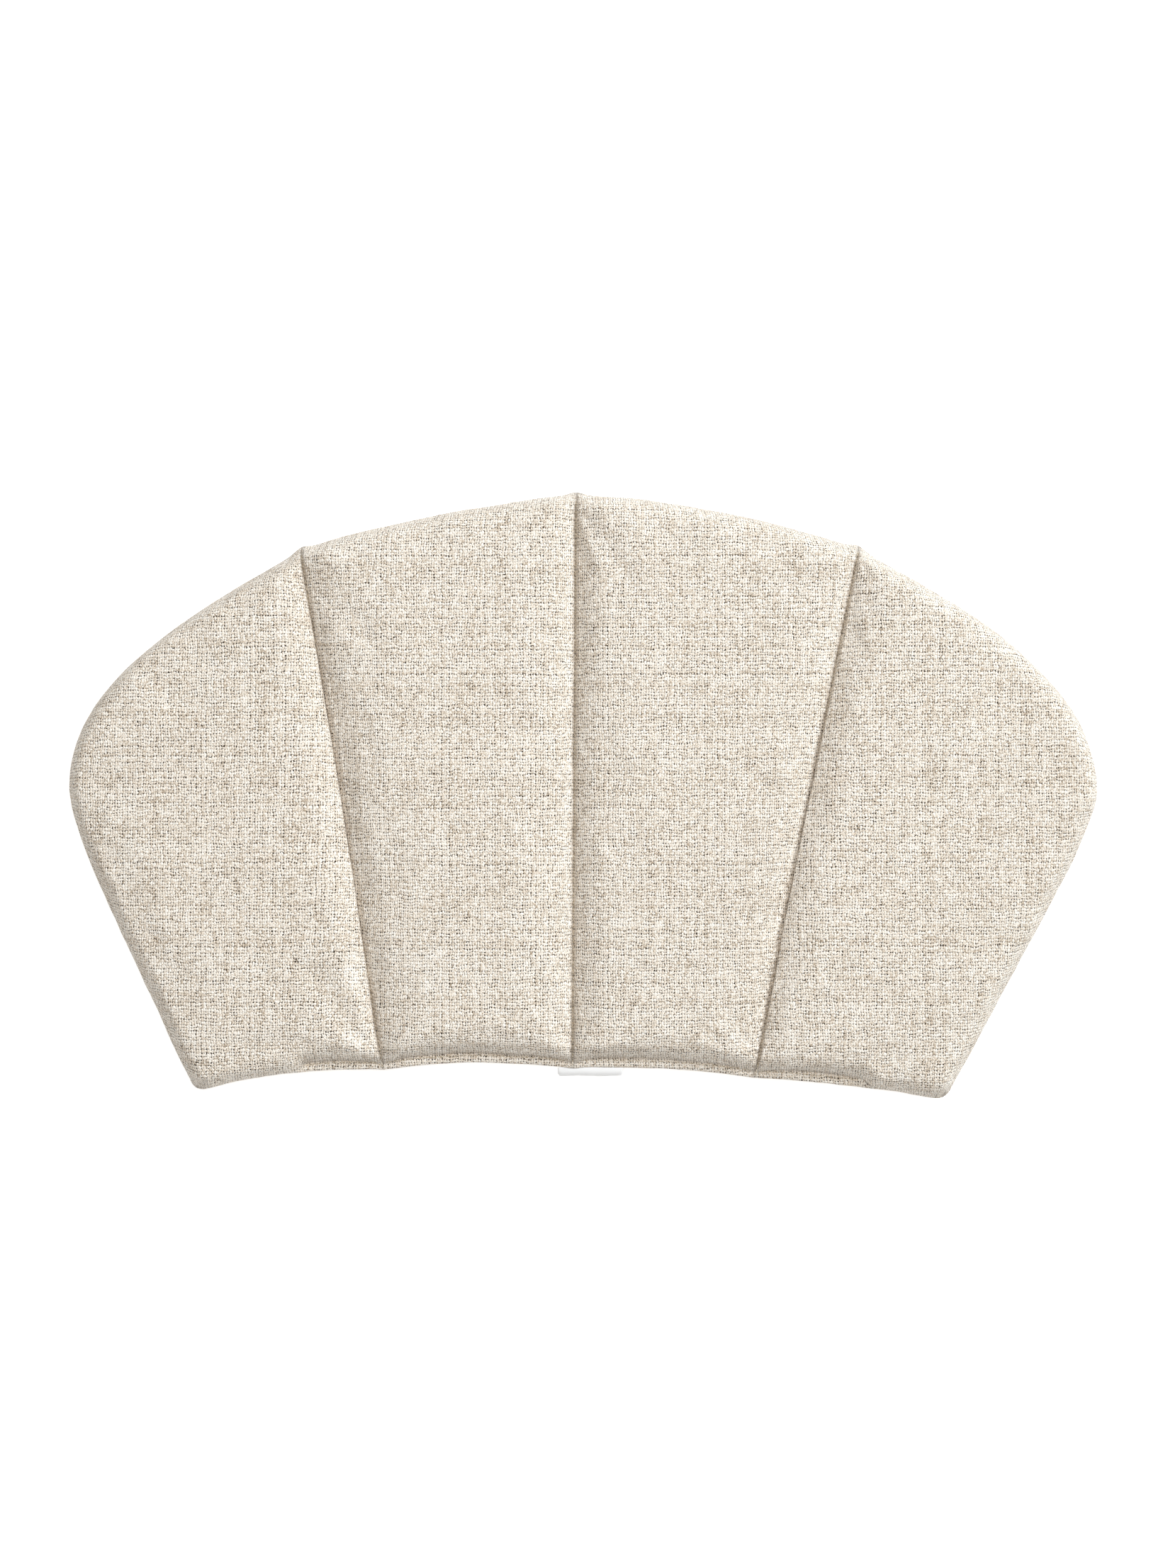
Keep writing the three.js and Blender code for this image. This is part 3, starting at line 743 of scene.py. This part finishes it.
def stitchRow(name, line, height, side, columns=8, ring=6):
    # Lockstitches along a line: each comes up out of one needle hole and goes down into the next.
    lengths = lengthsAlong(line)
    pitch, radius = stitching["pitch"], stitching["threadRadius"]
    count = int(lengths[-1] // pitch)
    vertices, faces = [], []
    for k in range(count):
        start = (k + 0.5) * pitch + stitching["gap"] / 2 - pitch / 2
        shares = np.linspace(0, 1, columns)
        run = start + shares * (pitch - stitching["gap"])
        places = alongLine(line, run / lengths[-1])
        tangent = places[-1] - places[0]
        tangent /= np.hypot(*tangent)
        sideways = np.array([-tangent[1], tangent[0]])
        hump = np.sin(np.pi * shares) ** 0.5
        base = len(vertices)
        for c in range(columns):
            middleHeight = height + side * (radius * 1.1 * hump[c] - 0.35 * radius)
            thickness = radius * (0.45 + 0.55 * hump[c])
            for r in range(ring):
                angle = 2 * np.pi * r / ring
                xy = places[c] + sideways * thickness * math.cos(angle)
                vertices.append((xy[0], xy[1], middleHeight + thickness * math.sin(angle)))
        for c in range(columns - 1):
            for r in range(ring):
                a, b = base + c * ring + r, base + c * ring + (r + 1) % ring
                faces.append((a, a + ring, b + ring, b))
        faces.append(tuple(base + r for r in range(ring)))
        faces.append(tuple(base + (columns - 1) * ring + r for r in reversed(range(ring))))
    row = makeObject(name, toRow(vertices), faces)
    row.data.materials.append(thread)
    return row


foldBody = {"left": "inner_left", "centre": "inner_left", "right": "inner_right"}
pinchHeight = pad["seamHeight"] + sheets["face"]["pinch"] * pad["faceRise"]
for name, body in foldBody.items():
    line = foldLine(name)
    inset = (line[1] - line[0]) / np.hypot(*(line[1] - line[0])) * 1.5
    line = np.array([line[0] + inset, line[1] - inset])
    top = stitchRow("fold_stitches_face_" + name, line, pinchHeight + 0.1, 1)
    under = stitchRow("fold_stitches_back_" + name, line, pad["seamHeight"] - 0.15, -1)
    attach(top, body)
    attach(under, body)
    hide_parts("fold_stitching_" + name)
print("stitches made")


label = {"width": 36.8, "centreX": 4, "reach": 4.3, "thickness": 0.3, "floorGap": 0.4, "rootY": 16.4}


def makeLabel():
    # A doubled tape: out of the hem, over and down to the table, folded back under itself.
    drop = pad["seamHeight"] - label["floorGap"]
    steps = np.linspace(0, math.pi / 2, 14)
    outer = [(label["reach"] * math.sin(a) ** 0.7, -drop * (1 - math.cos(a) ** 0.7)) for a in steps[1:]]
    outer = [(-0.8, 0.0), (0.0, 0.0)] + outer
    columns = 40
    across = np.linspace(-0.5, 0.5, columns)
    vertices, faces = [], []
    half = label["thickness"]
    for row, (out, down) in enumerate(outer):
        nextOut, nextDown = outer[min(row + 1, len(outer) - 1)]
        lastOut, lastDown = outer[max(row - 1, 0)]
        slope = np.array([nextOut - lastOut, nextDown - lastDown])
        slope /= np.hypot(*slope)
        normal = np.array([-slope[1], slope[0]])
        for sign in (1, -1):
            for share in across:
                curl = 0.2 * math.sin(share * 9) * row / len(outer)
                edge = 1 - abs(share * 2) ** 30 * 0.5
                rounding = 1 - 0.3 * abs(share * 2) ** 40
                o = out * rounding + normal[0] * half * sign * edge + curl
                z = down + normal[1] * half * sign * edge
                x = label["centreX"] + share * label["width"]
                vertices.append((x, label["rootY"] - o, pad["seamHeight"] + z))
    rows = len(outer)
    topIndex = np.arange(rows * 2 * columns).reshape(rows, 2, columns)
    faces += gridFaces(topIndex[:, 0], True).tolist() + gridFaces(topIndex[:, 1]).tolist()
    for r in range(rows - 1):
        for c, flip in ((0, False), (columns - 1, True)):
            a = (topIndex[r, 0, c], topIndex[r, 1, c], topIndex[r + 1, 1, c], topIndex[r + 1, 0, c])
            faces.append(a[::-1] if flip else a)
    for r, flip in ((0, True), (rows - 1, False)):
        for c in range(columns - 1):
            a = (topIndex[r, 0, c], topIndex[r, 1, c], topIndex[r, 1, c + 1], topIndex[r, 0, c + 1])
            faces.append(a[::-1] if flip else a)
    return makeObject("care_label_tape", toRow(vertices), [tuple(int(i) for i in f) for f in faces])


tapeLabel = makeLabel()
tapeLabel.data.materials.append(tape)
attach(tapeLabel, "care_label")
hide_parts("care_label")
print("label made")


for name, channel in channels.items():
    line = channel["bottom"]
    x = line[:, 0]
    keep = (x > hemEnds["left"]) & (x < hemEnds["right"])
    line = line[keep]
    tangent = np.gradient(line, axis=0)
    normal = np.stack([-tangent[:, 1], tangent[:, 0]], 1) / np.hypot(*tangent.T)[:, None]
    inside = line + normal * (pad["hemWidth"] - 1.1)
    top = stitchRow("hem_stitches_face_" + name, inside[2:-2], pad["seamHeight"] + pad["hemThickness"] / 2, 1)
    under = stitchRow("hem_stitches_back_" + name, inside[2:-2], pad["seamHeight"] - pad["hemThickness"] / 2, -1)
    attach(top, name)
    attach(under, name)
    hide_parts("hem_stitching_" + name)
print("hem stitched")


# cameraX, cameraY and cameraHeight are in metres, and the camera looks straight down
studio = {
    "floor": "#ffffff",
    "floorGlow": 0.42,
    "worldColour": (1.0, 0.965, 0.91),
    "world": 0.24,
    "cameraHeight": 1.2365,
    "cameraX": 0.0024,
    "cameraY": 0.0074,
    "lens": 50,
}
softboxes = {
    "side": {"from": (3.1, 2.1, 2.6), "size": 1.9, "power": 165, "colour": (0.9, 0.955, 1.0)},
    "overhead": {"from": (-0.05, 0.08, 1.25), "size": 0.7, "power": 8.0, "colour": (1.0, 0.995, 0.985)},
}

floorMaterial, floorTree, floorShader = newMaterial("whitePaintedFloor")
floorShader.inputs["Base Color"].default_value = linear(studio["floor"])
floorShader.inputs["Roughness"].default_value = 0.9
floorShader.inputs["Emission Color"].default_value = (1, 1, 1, 1)
floorShader.inputs["Emission Strength"].default_value = studio["floorGlow"]
floor = makeObject("floor", [(-4, -4, -0.0005), (4, -4, -0.0005), (4, 4, -0.0005), (-4, 4, -0.0005)], [(0, 1, 2, 3)])
floor.data.materials.append(floorMaterial)

world = bpy.data.worlds.new("studio")
world.use_nodes = True
world.node_tree.nodes["Background"].inputs["Color"].default_value = (*studio["worldColour"], 1)
world.node_tree.nodes["Background"].inputs["Strength"].default_value = studio["world"]
bpy.context.scene.world = world

for name, box in softboxes.items():
    lampData = bpy.data.lights.new("softbox_" + name, "AREA")
    lampData.shape = "SQUARE"
    lampData.size = box["size"]
    lampData.energy = box["power"]
    lampData.color = box["colour"]
    lamp = bpy.data.objects.new("softbox_" + name, lampData)
    bpy.context.scene.collection.objects.link(lamp)
    lamp.location = box["from"]
    lamp.rotation_euler = (-Vector(box["from"])).to_track_quat("-Z", "Y").to_euler()

cameraData = bpy.data.cameras.new("camera")
cameraData.lens = studio["lens"]
camera = bpy.data.objects.new("camera", cameraData)
bpy.context.scene.collection.objects.link(camera)
camera.location = (studio["cameraX"], studio["cameraY"], studio["cameraHeight"])
bpy.context.scene.camera = camera
bpy.context.scene.view_settings.view_transform = "Standard"
print("stage set")
